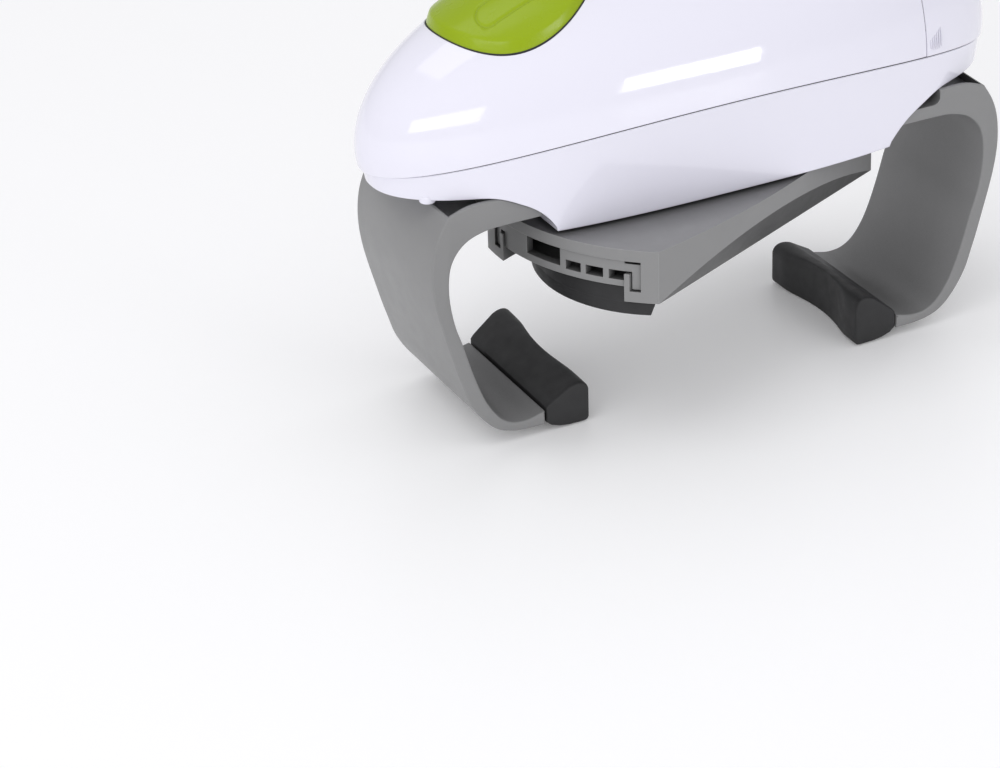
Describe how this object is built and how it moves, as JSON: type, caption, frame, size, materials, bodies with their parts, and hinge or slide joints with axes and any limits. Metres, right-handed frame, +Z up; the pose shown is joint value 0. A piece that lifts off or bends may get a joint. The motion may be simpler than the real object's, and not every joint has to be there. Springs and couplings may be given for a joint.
{
  "type": "electric jar opener",
  "caption": "Battery jar opener: a boat-shaped housing with a push button, two sliding padded arms that hold the jar and a turning frame with sliding padded jaws that grips the lid.",
  "frame": {"origin": "on the vertical turning axis, at the height of the arm pads' undersides (bottom centre of the bounding box)", "axes": "+X towards the battery door, -X towards the push button, +Z up, away from the jar"},
  "size_m": [0.1868, 0.0918, 0.1285],
  "materials": {
    "white_shell": "gloss",
    "white_inner": "matte",
    "green_button": "gloss",
    "spring_steel": "bright",
    "red_plastic": "satin",
    "black_plastic": "satin",
    "board": "satin",
    "motor_can": "satin",
    "bright_steel": "bright",
    "brass": "satin",
    "nylon": "satin",
    "grey_inner": "matte",
    "grey_plastic": "satin",
    "black_rubber": "matte",
    "screw_steel": "satin",
    "cell_label": "gloss"
  },
  "bodies": {
    "housing": {"top_cover": "white_shell", "bottom_cover": "white_shell", "button_springs": "spring_steel", "micro_switch": "black_plastic", "switch_board": "board", "switch_bracket": "white_inner", "motor": "motor_can", "centre_pin": "bright_steel", "gear_axle": "bright_steel", "gearbox_base": "grey_inner", "gearbox_top": "grey_inner", "frame_bearing": "nylon", "batteries": "cell_label", "battery_tray": "black_plastic", "battery_contacts": "spring_steel", "cover_screws": "screw_steel"},
    "door": {"battery_door": "white_shell"},
    "button": {"start_button": "green_button", "switch_plunger": "red_plastic"},
    "motor_rotor": {"motor_shaft": "bright_steel", "motor_pinion": "brass"},
    "gear_1": {"reduction_gear_1": "nylon"},
    "gear_2": {"reduction_gear_2": "nylon"},
    "frame": {"lid_frame": "grey_plastic", "spindle": "bright_steel", "spindle_gear": "nylon", "pinion_screw": "screw_steel"},
    "arm_drive": {"arm_pinion": "brass"},
    "arm_left": {"left_arm": "grey_plastic", "left_arm_pad": "black_rubber"},
    "arm_right": {"right_arm": "grey_plastic", "right_arm_pad": "black_rubber"},
    "jaw_drive": {"jaw_pinion": "brass"},
    "jaw_near": {"near_jaw": "grey_plastic", "near_lid_pad": "black_rubber"},
    "jaw_far": {"far_jaw": "grey_plastic", "far_lid_pad": "black_rubber"}
  },
  "joints": [
    {"name": "left_arm_slide", "type": "slide", "parent": "housing", "child": "arm_left", "axis": [1, 0, 0], "range_m": [-0.005, 0.02]},
    {"name": "right_arm_slide", "type": "slide", "parent": "housing", "child": "arm_right", "axis": [-1, 0, 0], "range_m": [-0.005, 0.02]},
    {"name": "arm_pinion_spin", "type": "hinge", "parent": "housing", "child": "arm_drive", "pos_m": [0, 0, 0.0658], "axis": [0, 0, 1], "range_deg": [-128, 33]},
    {"name": "lid_frame_spin", "type": "hinge", "parent": "housing", "child": "frame", "pos_m": [0, 0, 0.06], "axis": [0, 0, 1], "continuous": true},
    {"name": "gear_2_spin", "type": "hinge", "parent": "housing", "child": "gear_2", "pos_m": [-0.0208, 0, 0.08], "axis": [0, 0, 1], "continuous": true},
    {"name": "gear_1_spin", "type": "hinge", "parent": "housing", "child": "gear_1", "pos_m": [0, 0, 0.088], "axis": [0, 0, 1], "continuous": true},
    {"name": "motor_spin", "type": "hinge", "parent": "housing", "child": "motor_rotor", "pos_m": [0.0208, 0, 0.09], "axis": [0, 0, 1], "continuous": true},
    {"name": "near_jaw_slide", "type": "slide", "parent": "frame", "child": "jaw_near", "axis": [0.9107, 0.4131, 0], "range_m": [-0.002, 0.022]},
    {"name": "far_jaw_slide", "type": "slide", "parent": "frame", "child": "jaw_far", "axis": [-0.9107, -0.4131, 0], "range_m": [-0.002, 0.022]},
    {"name": "jaw_pinion_spin", "type": "hinge", "parent": "frame", "child": "jaw_drive", "pos_m": [0, 0, 0.0518], "axis": [0, 0, 1], "range_deg": [-25, 264]},
    {"name": "button_press", "type": "slide", "parent": "housing", "child": "button", "axis": [0, 0, -1], "range_m": [0, 0.0015], "stiffness_N_per_m": 900, "springref_m": -0.0005, "deforming": ["button_springs"]},
    {"name": "battery_door_slide", "type": "slide", "parent": "housing", "child": "door", "axis": [1, 0, 0], "range_m": [0, 0.04]}
  ],
  "couplings": [
    {"joint": "right_arm_slide", "follows": "left_arm_slide", "ratio": 1},
    {"joint": "arm_pinion_spin", "follows": "left_arm_slide", "rad_per_m": -111.11},
    {"joint": "gear_2_spin", "follows": "lid_frame_spin", "ratio": -3.3333},
    {"joint": "gear_1_spin", "follows": "lid_frame_spin", "ratio": 11.111},
    {"joint": "motor_spin", "follows": "lid_frame_spin", "ratio": -37.037},
    {"joint": "far_jaw_slide", "follows": "near_jaw_slide", "ratio": 1},
    {"joint": "jaw_pinion_spin", "follows": "near_jaw_slide", "rad_per_m": 208.33}
  ]
}
